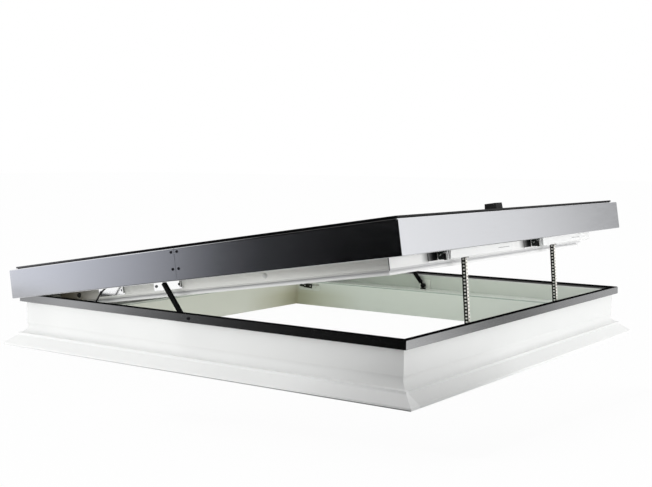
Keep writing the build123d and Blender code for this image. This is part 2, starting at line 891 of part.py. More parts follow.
def lead_pieces():
    """The motor lead, in straight runs and arcs, with a gland at each end."""
    points = [Vector(*point) for point in lead_route]
    runs = [after - before for before, after in zip(points, points[1:])]
    radii = []
    for before, after in zip(runs, runs[1:]):
        turn = radians(before.get_angle(after))
        shorter = min(before.length, after.length)
        radii.append(lead_bend_share * shorter / tan(turn / 2))
    print("lead radii", [round(radius, 1) for radius in radii])
    with BuildPart() as lead:
        with BuildLine() as path:
            FilletPolyline(*lead_route, radius=radii)
        with BuildSketch(Plane(origin=points[0], z_dir=runs[0])):
            Circle(lead_radius)
        sweep(path=path.wires()[0])
    save(lead.part, "motor_lead")
    for name, point, toward in (("lid", points[0], 1), ("frame", points[-1], -1)):
        with BuildPart() as gland:
            with BuildSketch(Plane(origin=point, x_dir=(0, 1, 0), z_dir=(toward, 0, 0))):
                Circle(gland_radius)
            extrude(amount=gland_length)
        save(gland.part, f"lead_gland_{name}")


os.makedirs("parts", exist_ok=True)
frame_pieces()
sash_pieces()
skirt_pieces()
glass_pieces()
sash_fixings()
sensor_piece()
lead_pieces()
for hand_name, hand_sign in HANDS.items():
    hinge_pieces(hand_name, hand_sign)
    sash_plate_pieces(hand_name, hand_sign)
    strut_pieces(hand_name, hand_sign)
    wall_bracket_piece(hand_name, hand_sign)
for hand_name, drive_start in zip(HANDS, drive_places):
    drive_pieces(hand_name, drive_start)
    chain_pieces(hand_name, drive_start)
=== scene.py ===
import json
from math import cos, pi, radians, sin

import bpy
from mathutils import Matrix, Vector


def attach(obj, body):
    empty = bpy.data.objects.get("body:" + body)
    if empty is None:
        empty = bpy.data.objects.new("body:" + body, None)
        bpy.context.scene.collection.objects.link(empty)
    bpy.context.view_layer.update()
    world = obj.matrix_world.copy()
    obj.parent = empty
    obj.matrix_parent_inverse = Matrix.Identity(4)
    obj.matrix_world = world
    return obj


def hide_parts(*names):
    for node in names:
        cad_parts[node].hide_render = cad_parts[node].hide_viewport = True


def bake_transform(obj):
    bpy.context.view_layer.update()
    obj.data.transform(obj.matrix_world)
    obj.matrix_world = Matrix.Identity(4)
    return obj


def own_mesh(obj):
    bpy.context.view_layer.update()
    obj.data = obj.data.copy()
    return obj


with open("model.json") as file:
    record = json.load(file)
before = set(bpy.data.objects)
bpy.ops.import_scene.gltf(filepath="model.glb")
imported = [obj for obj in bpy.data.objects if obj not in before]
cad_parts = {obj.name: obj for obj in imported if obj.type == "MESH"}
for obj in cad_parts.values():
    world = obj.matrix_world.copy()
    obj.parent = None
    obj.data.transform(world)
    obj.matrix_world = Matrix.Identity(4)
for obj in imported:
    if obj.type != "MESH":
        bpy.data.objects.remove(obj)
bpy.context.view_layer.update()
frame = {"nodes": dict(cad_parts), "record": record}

# Roof skylight at rest with its lid open. Metres, +Z up, hinges on the +Y side.
JOINTS = {joint["name"]: joint for joint in frame["record"]["behaviour"]["joints"]}
HINGE = Vector(JOINTS["lid_hinge"]["pos_m"])
LID_ANGLE = radians(-JOINTS["lid_hinge"]["range_deg"][0])
LID_TURN = Matrix.Translation(HINGE) @ Matrix.Rotation(-LID_ANGLE, 4, "X") @ Matrix.Translation(-HINGE)
HANDS = ("left", "right")
SIDES = ("front", "rear", "left", "right")

# Camera, from the photograph's vanishing lines
CAMERA_PLACE = (-2.8652, -1.9979, 0.5851)
CAMERA_AZIMUTH = radians(-54.71)
CAMERA_ELEVATION = radians(4.48)
CAMERA_ROLL = radians(0.51)
CAMERA_LENS = 59.16
CAMERA_SENSOR = 36.0


def add_camera():
    back = Vector((
        sin(CAMERA_AZIMUTH) * cos(CAMERA_ELEVATION),
        -cos(CAMERA_AZIMUTH) * cos(CAMERA_ELEVATION),
        sin(CAMERA_ELEVATION),
    ))
    level = Vector((cos(CAMERA_AZIMUTH), sin(CAMERA_AZIMUTH), 0))
    upright = back.cross(level)
    right = level * cos(CAMERA_ROLL) + upright * sin(CAMERA_ROLL)
    up = back.cross(right)
    turn = Matrix((right, up, back)).transposed().to_4x4()
    data = bpy.data.cameras.new("camera")
    data.lens = CAMERA_LENS
    data.sensor_width = CAMERA_SENSOR
    camera = bpy.data.objects.new("camera", data)
    camera.matrix_world = Matrix.Translation(CAMERA_PLACE) @ turn
    bpy.context.scene.collection.objects.link(camera)
    bpy.context.scene.camera = camera


class Nodes:
    """A material's node tree with short ways to add and join nodes."""

    def __init__(self, name):
        self.material = bpy.data.materials.new(name)
        self.material.use_nodes = True
        self.tree = self.material.node_tree
        self.shader = self.tree.nodes["Principled BSDF"]
        self.output = self.tree.nodes["Material Output"]
        self.place = self.add("ShaderNodeTexCoord").outputs["Object"]

    def add(self, kind, **values):
        node = self.tree.nodes.new(kind)
        for key, value in values.items():
            setattr(node, key, value)
        return node

    def join(self, source, target):
        self.tree.links.new(source, target)

    def set(self, values):
        for key, value in values.items():
            self.shader.inputs[key].default_value = value

    def noise(self, scale, detail=3.0, stretch=None):
        texture = self.add("ShaderNodeTexNoise")
        texture.inputs["Scale"].default_value = scale
        texture.inputs["Detail"].default_value = detail
        source = self.place
        if stretch:
            mapping = self.add("ShaderNodeMapping")
            mapping.inputs["Scale"].default_value = stretch
            self.join(source, mapping.inputs["Vector"])
            source = mapping.outputs["Vector"]
        self.join(source, texture.inputs["Vector"])
        return texture.outputs["Fac"]

    def ramp(self, source, stops):
        ramp = self.add("ShaderNodeValToRGB")
        elements = ramp.color_ramp.elements
        while len(elements) < len(stops):
            elements.new(0.5)
        for element, (position, colour) in zip(elements, stops):
            element.position = position
            element.color = (*colour, 1)
        self.join(source, ramp.inputs["Fac"])
        return ramp.outputs["Color"]

    def spread(self, source, low, high):
        """Maps a noise's middle range onto low to high."""
        mapped = self.add("ShaderNodeMapRange")
        mapped.inputs["From Min"].default_value = 0.3
        mapped.inputs["From Max"].default_value = 0.7
        mapped.inputs["To Min"].default_value = low
        mapped.inputs["To Max"].default_value = high
        self.join(source, mapped.inputs["Value"])
        return mapped.outputs["Result"]

    def bump(self, source, depth, strength=1.0):
        bump = self.add("ShaderNodeBump")
        bump.inputs["Strength"].default_value = strength
        bump.inputs["Distance"].default_value = depth
        self.join(source, bump.inputs["Height"])
        self.join(bump.outputs["Normal"], self.shader.inputs["Normal"])

    def math(self, operation, first, second=None):
        node = self.add("ShaderNodeMath", operation=operation)
        self.join(first, node.inputs[0])
        if second is not None:
            self.join(second, node.inputs[1])
        return node.outputs["Value"]

    def blended(self, source, colour, amount, mode="MIX"):
        """Blends a colour over the source by an amount that varies over the surface."""
        node = self.add("ShaderNodeMix", data_type="RGBA", blend_type=mode)
        self.join(amount, node.inputs["Factor"])
        self.join(source, node.inputs[6])
        node.inputs[7].default_value = (*colour, 1)
        return node.outputs[2]

    def multiplied(self, source, colour, amount):
        return self.blended(source, colour, amount, "MULTIPLY")

    def colour(self, source):
        self.join(source, self.shader.inputs["Base Color"])

    def rough(self, source):
        self.join(source, self.shader.inputs["Roughness"])

    def places(self):
        """The X, Y and Z of each point of the surface."""
        split = self.add("ShaderNodeSeparateXYZ")
        self.join(self.place, split.inputs["Vector"])
        return [split.outputs[axis] for axis in "XYZ"]

    def ring(self, x, y):
        """Distance from the middle, measured square to the four sides."""
        return self.math("MAXIMUM", self.math("ABSOLUTE", x), self.math("ABSOLUTE", y))

    def stepped(self, source, low, high):
        """Goes from 0 at the first value to 1 at the second."""
        mapped = self.add("ShaderNodeMapRange")
        mapped.inputs["From Min"].default_value = low
        mapped.inputs["From Max"].default_value = high
        self.join(source, mapped.inputs["Value"])
        return mapped.outputs["Result"]

    def product(self, *factors):
        value = factors[0]
        for factor in factors[1:]:
            value = self.math("MULTIPLY", value, factor)
        return value

    def mixed(self, share, first, second):
        """Mixes two shaders."""
        node = self.add("ShaderNodeMixShader")
        self.join(share, node.inputs["Fac"])
        self.join(first, node.inputs[1])
        self.join(second, node.inputs[2])
        return node.outputs["Shader"]

    def surface(self, shader):
        self.join(shader, self.output.inputs["Surface"])


# Stretch of the grain on brushed and rolled metal
BRUSHED = (1.0, 1.0, 10.0)
ROLLED = (1.0, 1.0, 14.0)


def mottled(nodes, colour, amount, scale):
    """Base colour that drifts slightly over the surface."""
    low = tuple(channel * (1 - amount) for channel in colour)
    high = tuple(min(1.0, channel * (1 + amount)) for channel in colour)
    nodes.colour(nodes.ramp(nodes.noise(scale, 4.0), ((0.3, low), (0.7, high))))


# Places on the upstand where shade and light are painted, as distances from the middle and heights
INNER_RIM = 0.672
SHAFT_FACE = 0.600
LEDGE_FACE = 0.668
LEDGE_HEIGHT = 0.098
LINE_LOW, LINE_HIGH = 0.0925, 0.0970
LINE_SOFTNESS = 0.0007
SEAL_HEIGHT = 0.1495
SEAL_OUT = 0.690
WALL_OUT = 0.700
FOOT_TOP = 0.031
BEAD_TOP = 0.039
FOOT_EDGE = 0.7395
# Height of the painted contact shadow, black of the painted gap shade, and tones of the painted light on the
# foot
CONTACT_SHADOW_HEIGHT = 0.0022
GAP_SHADE_BLACK = (0.004, 0.004, 0.004)
FOOT_PAINTED_LIGHT = (0.862, 0.868, 0.860)
CORNER_PAINTED_LIGHT = (0.930, 0.935, 0.930)


def inner_tones(nodes, coat, x, y, z):
    """Paints shade and light on the inner faces: a darker, warmer hinge wall, painted shade low in the far
    corner, a painted highlight on the ledge over a painted shadow line, black painted shade on the rim's top
    inside the cap, and painted shade on the right wall above the ledge, deeper on its far half.
    """
    ring = nodes.ring(x, y)
    inside = nodes.stepped(ring, INNER_RIM + 0.01, INNER_RIM)
    hinge_wall = nodes.product(inside, nodes.stepped(y, SHAFT_FACE - 0.015, SHAFT_FACE - 0.002))
    coat = nodes.multiplied(coat, (0.93, 0.90, 0.86), hinge_wall)
    # Painted shade low in the far corner.
    far_corner = nodes.stepped(nodes.math("MINIMUM", x, y), 0.28, 0.56)
    corner_shade = nodes.product(inside, far_corner, nodes.stepped(z, 0.090, 0.045))
    coat = nodes.multiplied(coat, (0.74, 0.72, 0.59), corner_shade)
    # Painted shadow line under the ledge.
    line = nodes.product(
        nodes.stepped(z, LINE_LOW, LINE_LOW + LINE_SOFTNESS),
        nodes.stepped(z, LINE_HIGH, LINE_HIGH - LINE_SOFTNESS),
        nodes.stepped(ring, SHAFT_FACE + 0.003, SHAFT_FACE + 0.001),
    )
    coat = nodes.multiplied(coat, (0.56, 0.60, 0.60), line)
    # Painted highlight on the ledge's top.
    ledge = nodes.product(
        nodes.stepped(z, LEDGE_HEIGHT - 0.0006, LEDGE_HEIGHT - 0.0002),
        nodes.stepped(ring, LEDGE_FACE - 0.0005, LEDGE_FACE - 0.0015),
    )
    coat = nodes.blended(coat, (0.93, 0.945, 0.93), ledge)
    # Black painted shade on the rim's top inside the cap.
    gap_shade = nodes.product(
        nodes.stepped(z, SEAL_HEIGHT, SEAL_HEIGHT + 0.0006),
        nodes.stepped(ring, SEAL_OUT + 0.001, SEAL_OUT),
    )
    coat = nodes.blended(coat, GAP_SHADE_BLACK, gap_shade)
    # Painted shade on the right wall above the ledge, deeper on its far half.
    upper = nodes.product(
        inside,
        nodes.stepped(z, LEDGE_HEIGHT + 0.0004, LEDGE_HEIGHT + 0.0010),
        nodes.stepped(ring, LEDGE_FACE - 0.004, LEDGE_FACE - 0.001),
        nodes.stepped(x, 0.60, 0.65),
    )
    coat = nodes.multiplied(coat, (0.89, 0.90, 0.88), upper)
    far_half = nodes.product(upper, nodes.stepped(y, -0.15, 0.10))
    return nodes.multiplied(coat, (0.82, 0.84, 0.82), far_half)


def foot_tones(nodes, coat, x, y, z):
    """Paints light on the foot, paler on the left, at its near end and on the front, and paints a contact
    shadow as a dark line under the left side.
    """
    # Painted light on the left foot, stronger at its near end.
    left_foot = nodes.product(
        nodes.stepped(x, 0.004 - WALL_OUT, -WALL_OUT),
        nodes.stepped(z, BEAD_TOP + 0.002, BEAD_TOP - 0.001),
    )
    coat = nodes.blended(coat, FOOT_PAINTED_LIGHT, left_foot)
    near_end = nodes.product(left_foot, nodes.stepped(y, -0.20, -0.65))
    coat = nodes.blended(coat, CORNER_PAINTED_LIGHT, near_end)
    # Painted light on the front foot.
    front_foot = nodes.product(
        nodes.stepped(y, 0.004 - WALL_OUT, -WALL_OUT),
        nodes.stepped(z, FOOT_TOP + 0.002, FOOT_TOP - 0.001),
        nodes.stepped(x, -0.10, 0.70),
    )
    coat = nodes.blended(coat, FOOT_PAINTED_LIGHT, front_foot)
    # Painted contact shadow along the foot's lower left edge.
    contact_shadow = nodes.product(
        nodes.stepped(x, 0.001 - FOOT_EDGE, -FOOT_EDGE),
        nodes.stepped(z, CONTACT_SHADOW_HEIGHT + 0.0008, CONTACT_SHADOW_HEIGHT),
        nodes.stepped(y, 0.90, -0.50),
    )
    return nodes.multiplied(coat, (0.22, 0.23, 0.23), contact_shadow)


def gel_coat():
    """White skin of the moulded upstand."""
    nodes = Nodes("upstand_gel_coat")
    x, y, z = nodes.places()
    coat = nodes.ramp(nodes.noise(7.0, 4.0), ((0.3, (0.797, 0.804, 0.795)), (0.7, (0.813, 0.820, 0.811))))
    # Painted shade and light inside the upstand and on its foot.
    coat = inner_tones(nodes, coat, x, y, z)
    nodes.colour(foot_tones(nodes, coat, x, y, z))
    nodes.rough(nodes.spread(nodes.noise(40.0), 0.30, 0.42))
    nodes.bump(nodes.noise(160.0, 2.0), 0.0003, 0.25)
    nodes.set({"Specular IOR Level": 0.45})
    return nodes.material


CAP_INNER = 0.688


def cap_coat():
    """Satin anodised cap, with black painted shade on the edge that faces inward."""
    nodes = Nodes("cap_anodised")
    x, y, _ = nodes.places()
    coat = nodes.ramp(nodes.noise(900.0, 4.0), ((0.3, (0.510, 0.515, 0.519)), (0.7, (0.530, 0.536, 0.541))))
    # Black painted shade on the cap's inward edge.
    inner_edge = nodes.stepped(nodes.ring(x, y), CAP_INNER + 0.0010, CAP_INNER + 0.0005)
    nodes.colour(nodes.multiplied(coat, GAP_SHADE_BLACK, inner_edge))
    nodes.rough(nodes.spread(nodes.noise(18.0, 4.0, ROLLED), 0.16, 0.24))
    nodes.bump(nodes.noise(420.0, 2.0), 0.00004, 0.3)
    nodes.set({"Metallic": 1.0})
    return nodes.material


def white_coat(name, colour, roughness):
    nodes = Nodes(name)
    mottled(nodes, colour, 0.012, 9.0)
    nodes.rough(nodes.spread(nodes.noise(55.0), roughness - 0.05, roughness + 0.06))
    nodes.bump(nodes.noise(700.0, 2.0), 0.00006, 0.3)
    return nodes.material


def black_rubber():
    nodes = Nodes("gasket_rubber")
    mottled(nodes, (0.004, 0.004, 0.0045), 0.25, 60.0)
    nodes.rough(nodes.spread(nodes.noise(120.0), 0.5, 0.7))
    nodes.bump(nodes.noise(900.0, 2.0), 0.00008, 0.4)
    nodes.set({"Specular IOR Level": 0.0})
    return nodes.material


def black_coat(name, colour, roughness, sheen=0.3):
    nodes = Nodes(name)
    mottled(nodes, colour, 0.2, 80.0)
    nodes.rough(nodes.spread(nodes.noise(90.0), roughness - 0.06, roughness + 0.08))
    nodes.bump(nodes.noise(650.0, 2.0), 0.00005, 0.3)
    nodes.set({"Specular IOR Level": sheen})
    return nodes.material


def bare_metal(name, colour, rough_low, rough_high):
    nodes = Nodes(name)
    mottled(nodes, colour, 0.04, 60.0)
    nodes.rough(nodes.spread(nodes.noise(140.0), rough_low, rough_high))
    nodes.bump(nodes.noise(500.0, 2.0), 0.00003, 0.25)
    nodes.set({"Metallic": 1.0})
    return nodes.material


# Face and returned edge of the polished plates, as distances from the middle
PLATE_FACE = 0.6155
PLATE_LIP = 0.6200
PLATE_SOFTNESS = 0.0008


def side_distance(nodes):
    """Distance from the middle plane between the left and right sides."""
    x, _, _ = nodes.places()
    return nodes.math("ABSOLUTE", x)


def polished_plate(name, rough_low, rough_high):
    """Mirror-like plate whose returned edge is painted black as shade."""
    nodes = Nodes(name)
    out = side_distance(nodes)
    # Painted shade on the returned edge.
    edge_shade = nodes.product(
        nodes.stepped(out, PLATE_FACE + PLATE_SOFTNESS, PLATE_FACE + 2 * PLATE_SOFTNESS),
        nodes.stepped(out, PLATE_LIP + PLATE_SOFTNESS, PLATE_LIP),
    )
    nodes.colour(nodes.ramp(edge_shade, ((0.0, (0.95, 0.955, 0.96)), (1.0, (0.012, 0.012, 0.014)))))
    nodes.rough(nodes.spread(nodes.noise(140.0, 3.0, BRUSHED), rough_low, rough_high))
    nodes.bump(nodes.noise(500.0, 2.0, BRUSHED), 0.00003, 0.2)
    nodes.set({"Metallic": 1.0})
    return nodes.material


def shares(nodes, turn):
    """Places in the shut drawing of a turned body: along the hinges, across them, and up."""
    shifted = nodes.add("ShaderNodeVectorMath", operation="SUBTRACT")
    shifted.inputs[1].default_value = turn @ Vector((0, 0, 0))
    nodes.join(nodes.place, shifted.inputs[0])
    values = []
    for axis in ((1, 0, 0), (0, 1, 0), (0, 0, 1)):
        dot = nodes.add("ShaderNodeVectorMath", operation="DOT_PRODUCT")
        dot.inputs[1].default_value = turn.to_3x3() @ Vector(axis)
        nodes.join(shifted.outputs["Vector"], dot.inputs[0])
        values.append(dot.outputs["Value"])
    return values


# Places on the lid in its shut drawing: along the hinges, across them, and up
SASH_FACE = 0.613
MITRE_LINE = 0.0026
LIP_BAND = (0.105, 0.117)
HINGE_SHADE = (0.38, 0.58)
HINGE_PLUG_SHADE = (0.40, 0.42)
BRACKET_REACH = 0.046
SHADE_REACH = 0.034
SHADE_HEIGHTS = (0.116, 0.124)
DRIVE_STARTS = {"left": -0.376, "right": 0.214}
DRIVE_LENGTH = 0.372


def sash_coat():
    """White coat with a dark mitre joint, painted shade on the lip, by the hinges and beside the drive
    brackets, and painted light on the left side and on the front above the lip.
    """
    nodes = Nodes("sash_coat")
    along, across, up = shares(nodes, LID_TURN)
    coat = nodes.ramp(nodes.noise(9.0, 4.0), ((0.3, (0.899, 0.899, 0.894)), (0.7, (0.921, 0.921, 0.916))))
    on_side = nodes.stepped(along, -SASH_FACE + 0.0008, -SASH_FACE + 0.0004)
    at_corner = nodes.stepped(across, -SASH_FACE + MITRE_LINE, -SASH_FACE + 0.8 * MITRE_LINE)
    coat = nodes.multiplied(coat, (0.06, 0.06, 0.06), nodes.product(on_side, at_corner))
    low, high = LIP_BAND
    # Painted shade on the lip band.
    lip = nodes.product(nodes.stepped(up, low, low + 0.001), nodes.stepped(up, high, high - 0.001))
    coat = nodes.multiplied(coat, (0.74, 0.74, 0.75), lip)
    # Painted shade by the hinges.
    by_hinge = nodes.product(on_side, nodes.stepped(across, *HINGE_SHADE))
    coat = nodes.multiplied(coat, (0.42, 0.37, 0.30), by_hinge)
    # Painted light on the left side.
    coat = nodes.multiplied(coat, (1.07, 1.07, 1.04), on_side)
    on_front = nodes.stepped(across, -SASH_FACE + 0.002, -SASH_FACE + 0.001)
    # Painted light on the front above the lip.
    above_lip = nodes.product(on_front, nodes.stepped(up, high - 0.001, high))
    coat = nodes.multiplied(coat, (1.06, 1.06, 1.06), above_lip)
    # Painted shade beside each drive bracket.
    beside = nodes.product(on_front, nodes.stepped(up, *SHADE_HEIGHTS))
    for start in DRIVE_STARTS.values():
        edge = start - BRACKET_REACH
        rising = nodes.stepped(along, edge - SHADE_REACH, edge)
        ending = nodes.stepped(along, edge + 0.004, edge + 0.001)
        coat = nodes.multiplied(coat, (0.25, 0.25, 0.25), nodes.product(beside, rising, ending))
    nodes.colour(coat)
    nodes.rough(nodes.spread(nodes.noise(55.0), 0.30, 0.41))
    nodes.bump(nodes.noise(700.0, 2.0), 0.00006, 0.3)
    return nodes.material


def plug_coat():
    """Pale plugs, with painted shade making the one toward the hinges dark."""
    nodes = Nodes("plug_plastic")
    _, across, _ = shares(nodes, LID_TURN)
    # Painted shade on the plug toward the hinges.
    dark = nodes.stepped(across, *HINGE_PLUG_SHADE)
    nodes.colour(nodes.ramp(dark, ((0.0, (0.80, 0.80, 0.79)), (1.0, (0.02, 0.02, 0.018)))))
    nodes.rough(nodes.spread(nodes.noise(55.0), 0.35, 0.45))
    return nodes.material


def rivet_steel():
    """Blackened rivet, with a painted highlight on the flank that faces the hinges."""
    nodes = Nodes("rivet_steel")
    facing = nodes.add("ShaderNodeVectorMath", operation="DOT_PRODUCT")
    facing.inputs[1].default_value = (0, 1, 0)
    nodes.join(nodes.add("ShaderNodeNewGeometry").outputs["Normal"], facing.inputs[0])
    # Painted highlight on the flank that faces the hinges.
    flank = nodes.stepped(facing.outputs["Value"], 0.08, 0.25)
    nodes.colour(nodes.ramp(flank, ((0.0, (0.04, 0.04, 0.045)), (1.0, (0.95, 0.95, 0.96)))))
    nodes.rough(nodes.spread(nodes.noise(90.0), 0.2, 0.3))
    nodes.set({"Metallic": 1.0})
    return nodes.material


# Skirt's upper fold in the shut drawing, and where its painted dark reflection starts, fades and ends
SKIRT_TOP = 0.235
SKIRT_FOLD = 0.003
FOLD_SIDE = (-0.690, -0.700)
FOLD_FADE = (0.15, -0.30)
FOLD_END = (-0.7145, -0.7130)


def skirt_coat():
    """Satin anodised sheet whose left fold has a painted dark reflection, black toward the near corner."""
    nodes = Nodes("skirt_anodised")
    along, across, up = shares(nodes, LID_TURN)
    # Painted dark reflection on the left fold.
    fold_dark_reflection = nodes.product(
        nodes.stepped(up, SKIRT_TOP - 1.5 * SKIRT_FOLD, SKIRT_TOP - SKIRT_FOLD),
        nodes.stepped(along, *FOLD_SIDE),
        nodes.stepped(across, *FOLD_FADE),
        nodes.stepped(across, *FOLD_END),
    )
    coat = nodes.ramp(nodes.noise(900.0, 4.0), ((0.3, (0.774, 0.784, 0.813)), (0.7, (0.806, 0.816, 0.847))))
    nodes.colour(nodes.multiplied(coat, (0.03, 0.03, 0.03), fold_dark_reflection))
    nodes.rough(nodes.spread(nodes.noise(18.0, 4.0, ROLLED), 0.17, 0.25))
    nodes.bump(nodes.noise(420.0, 2.0), 0.00004, 0.3)
    nodes.set({"Metallic": 1.0})
    return nodes.material


GLASS_TINT = (0.940, 0.965, 0.930)
FRIT_START = 0.604
FRIT_GREYING = (0.15, 0.72)


def glass(name, frit):
    """Clear pane with a green tint that lets daylight through, with a black printed border if asked."""
    nodes = Nodes(name)
    nodes.set({"Roughness": 0.02, "Transmission Weight": 1.0, "IOR": 1.5})
    nodes.shader.inputs["Base Color"].default_value = (*GLASS_TINT, 1)
    nodes.bump(nodes.noise(6.0, 1.0), 0.0004, 0.05)
    clear = nodes.add("ShaderNodeBsdfTransparent")
    clear.inputs["Color"].default_value = (*GLASS_TINT, 1)
    rays = nodes.add("ShaderNodeLightPath")
    through = nodes.math("MAXIMUM", rays.outputs["Is Shadow Ray"], rays.outputs["Is Diffuse Ray"])
    pane = nodes.mixed(through, nodes.shader.outputs["BSDF"], clear.outputs["BSDF"])
    if not frit:
        nodes.surface(pane)
        return nodes.material
    enamel = nodes.add("ShaderNodeBsdfPrincipled")
    enamel.inputs["Roughness"].default_value = 0.12
    enamel.inputs["Specular IOR Level"].default_value = 0.12
    along, across, _ = shares(nodes, LID_TURN)
    # The black border turns grey toward the hinges.
    black = nodes.ramp(
        nodes.stepped(across, *FRIT_GREYING),
        ((0.0, (0.003, 0.003, 0.0035)), (1.0, (0.10, 0.10, 0.105))),
    )
    nodes.join(black, enamel.inputs["Base Color"])
    border = nodes.add("ShaderNodeMath", operation="GREATER_THAN")
    border.inputs[1].default_value = FRIT_START
    nodes.join(nodes.ring(along, across), border.inputs[0])
    nodes.surface(nodes.mixed(border.outputs["Value"], pane, enamel.outputs["BSDF"]))
    return nodes.material


END_BORDER = 0.652


def drive_end_coat(hand):
    """Black casting at the drive's cable end inside a white border, white cap at its other end."""
    nodes = Nodes(f"drive_end_{hand}")
    along, across, _ = shares(nodes, drive_turn(hand))
    middle = DRIVE_STARTS[hand] + DRIVE_LENGTH / 2
    cast = nodes.product(
        nodes.stepped(along, middle + 0.01, middle),
        nodes.stepped(across, -END_BORDER, 0.0008 - END_BORDER),
    )
    nodes.colour(nodes.ramp(cast, ((0.0, (0.90, 0.905, 0.90)), (1.0, (0.008, 0.011, 0.010)))))
    nodes.rough(nodes.spread(nodes.noise(90.0), 0.24, 0.38))
    nodes.bump(nodes.noise(650.0, 2.0), 0.00005, 0.3)
    return nodes.material


def bracket_coat(hand):
    """Satin bracket whose plate has painted shade that deepens toward the drive's cast end."""
    nodes = Nodes(f"drive_bracket_{hand}")
    along, across, _ = shares(nodes, LID_TURN)
    start = DRIVE_STARTS[hand]
    # Painted shade on the plate toward the cast end.
    dark = nodes.product(
        nodes.stepped(across, -SASH_FACE - 0.0050, -SASH_FACE - 0.0040),
        nodes.stepped(along, start - BRACKET_REACH - 0.040, start - 0.016),
        nodes.stepped(along, start + 0.02, start + 0.01),
    )
    nodes.colour(nodes.ramp(dark, (
        (0.0, (0.88, 0.885, 0.885)),
        (0.5, (0.27, 0.27, 0.27)),
        (0.7, (0.08, 0.08, 0.08)),
        (0.9, (0.006, 0.007, 0.007)),
    )))
    nodes.rough(nodes.spread(nodes.noise(140.0, 3.0, BRUSHED), 0.38, 0.5))
    nodes.bump(nodes.noise(500.0, 2.0, BRUSHED), 0.00003, 0.2)
    nodes.set({"Specular IOR Level": 0.15})
    return nodes.material


STRUT_FOOT_PLATE = (0.6620, 0.6628)


def foot_coat():
    """Strut foot: pale plate on the wall, black collar and pin."""
    nodes = Nodes("strut_foot_coat")
    at_wall = nodes.stepped(side_distance(nodes), *STRUT_FOOT_PLATE)
    nodes.colour(nodes.ramp(at_wall, ((0.0, (0.006, 0.006, 0.006)), (1.0, (0.74, 0.75, 0.72)))))
    nodes.rough(nodes.spread(nodes.noise(55.0), 0.4, 0.5))
    nodes.set({"Specular IOR Level": 0.15})
    return nodes.material


def dress(material, *names):
    """Gives CAD nodes their finish."""
    for name in names:
        for slot in frame["nodes"][name].material_slots:
            slot.material = material


def both(*stems):
    return [f"{stem}_{hand}" for stem in stems for hand in HANDS]


def dress_all():
    dress(gel_coat(), "upstand")
    dress(cap_coat(), *[f"cap_{side}" for side in SIDES])
    dress(skirt_coat(), "skirt_front", "skirt_rear", *both("splice"))
    dress(black_rubber(), "frame_gasket", "edge_gasket")
    dress(sash_coat(), *[f"sash_{side}" for side in SIDES])
    dress(white_coat("drive_coat", (0.90, 0.905, 0.90), 0.32), *both("drive_housing"))
    dress(plug_coat(), "sash_plugs")
    dress(glass("outer_glass", True), "outer_pane")
    dress(glass("inner_glass", False), "inner_pane")
    dress(black_coat("spacer_sealant", (0.02, 0.02, 0.02), 0.5), "glass_spacer")
    dress(polished_plate("strut_plate_steel", 0.06, 0.12), *both("strut_plate"))
    dress(polished_plate("side_plate_steel", 0.12, 0.17), *both("side_plate"))
    zinc = bare_metal("zinc_plate", (0.55, 0.56, 0.57), 0.25, 0.4)
    dress(zinc, *both("hinge_frame_leaf", "hinge_lid_leaf", "chain_anchor"))
    dress(foot_coat(), *both("strut_foot"))
    dress(white_coat("inner_fitting_coat", (0.74, 0.75, 0.72), 0.4), *both("wall_bracket"))
    fixings = bare_metal("fixing_steel", (0.10, 0.10, 0.11), 0.16, 0.26)
    dress(fixings, "cap_screws", "plate_screws", *both("hinge_pin"))
    dress(rivet_steel(), "splice_rivets")
    dress(bare_metal("chain_steel", (0.30, 0.29, 0.27), 0.2, 0.35), *both("chain"))
    dress(black_coat("strut_paint", (0.004, 0.004, 0.0045), 0.4, 0.06), *both("strut_tube", "strut_rod"))
    for hand in HANDS:
        dress(drive_end_coat(hand), f"drive_ends_{hand}")
        dress(bracket_coat(hand), f"drive_bracket_{hand}")
    dress(black_coat("black_plastic", (0.012, 0.012, 0.012), 0.42, 0.1), "rain_sensor")
    sheath = black_coat("lead_sheath", (0.008, 0.008, 0.008), 0.45)
    dress(sheath, "motor_lead", "lead_gland_lid", "lead_gland_frame")


class Shape:
    """Gathers turned and flat-cut forms into one mesh."""

    def __init__(self):
        self.corners = []
        self.faces = []

    def rings(self, rings):
        """Joins closed rings of points, end to end, and closes both ends."""
        first = len(self.corners)
        size = len(rings[0])
        for ring in rings:
            self.corners.extend(ring)
        for level in range(len(rings) - 1):
            low = first + level * size
            for index in range(size):
                after = (index + 1) % size
                self.faces.append((low + index, low + after, low + size + after, low + size + index))
        self.faces.append(tuple(first + index for index in reversed(range(size))))
        last = first + (len(rings) - 1) * size
        self.faces.append(tuple(last + index for index in range(size)))

    def turned(self, place, stations, segments=20):
        """A round form about the place's Z, given as (radius, height) stations."""
        rings = []
        for radius, height in stations:
            ring = []
            for index in range(segments):
                angle = 2 * pi * index / segments
                ring.append(place @ Vector((radius * cos(angle), radius * sin(angle), height)))
            rings.append(ring)
        self.rings(rings)

    def cut(self, place, outline, low, high):
        """A flat form with an outline in the place's XY, from low to high along its Z."""
        self.rings([[place @ Vector((x, y, z)) for x, y in outline] for z in (low, high)])

    def make(self, name, material, smooth=True):
        mesh = bpy.data.meshes.new(name)
        mesh.from_pydata(self.corners, [], self.faces)
        mesh.materials.append(material)
        if smooth:
            mesh.shade_smooth()
            mesh.set_sharp_from_angle(angle=radians(35))
        piece = bpy.data.objects.new(name, mesh)
        bpy.context.scene.collection.objects.link(piece)
        return piece


def axes_place(origin, x_axis, y_axis):
    """A place with the given X and Y directions."""
    x_axis = Vector(x_axis).normalized()
    y_axis = Vector(y_axis).normalized()
    turn = Matrix((x_axis, y_axis, x_axis.cross(y_axis))).transposed().to_4x4()
    return Matrix.Translation(origin) @ turn


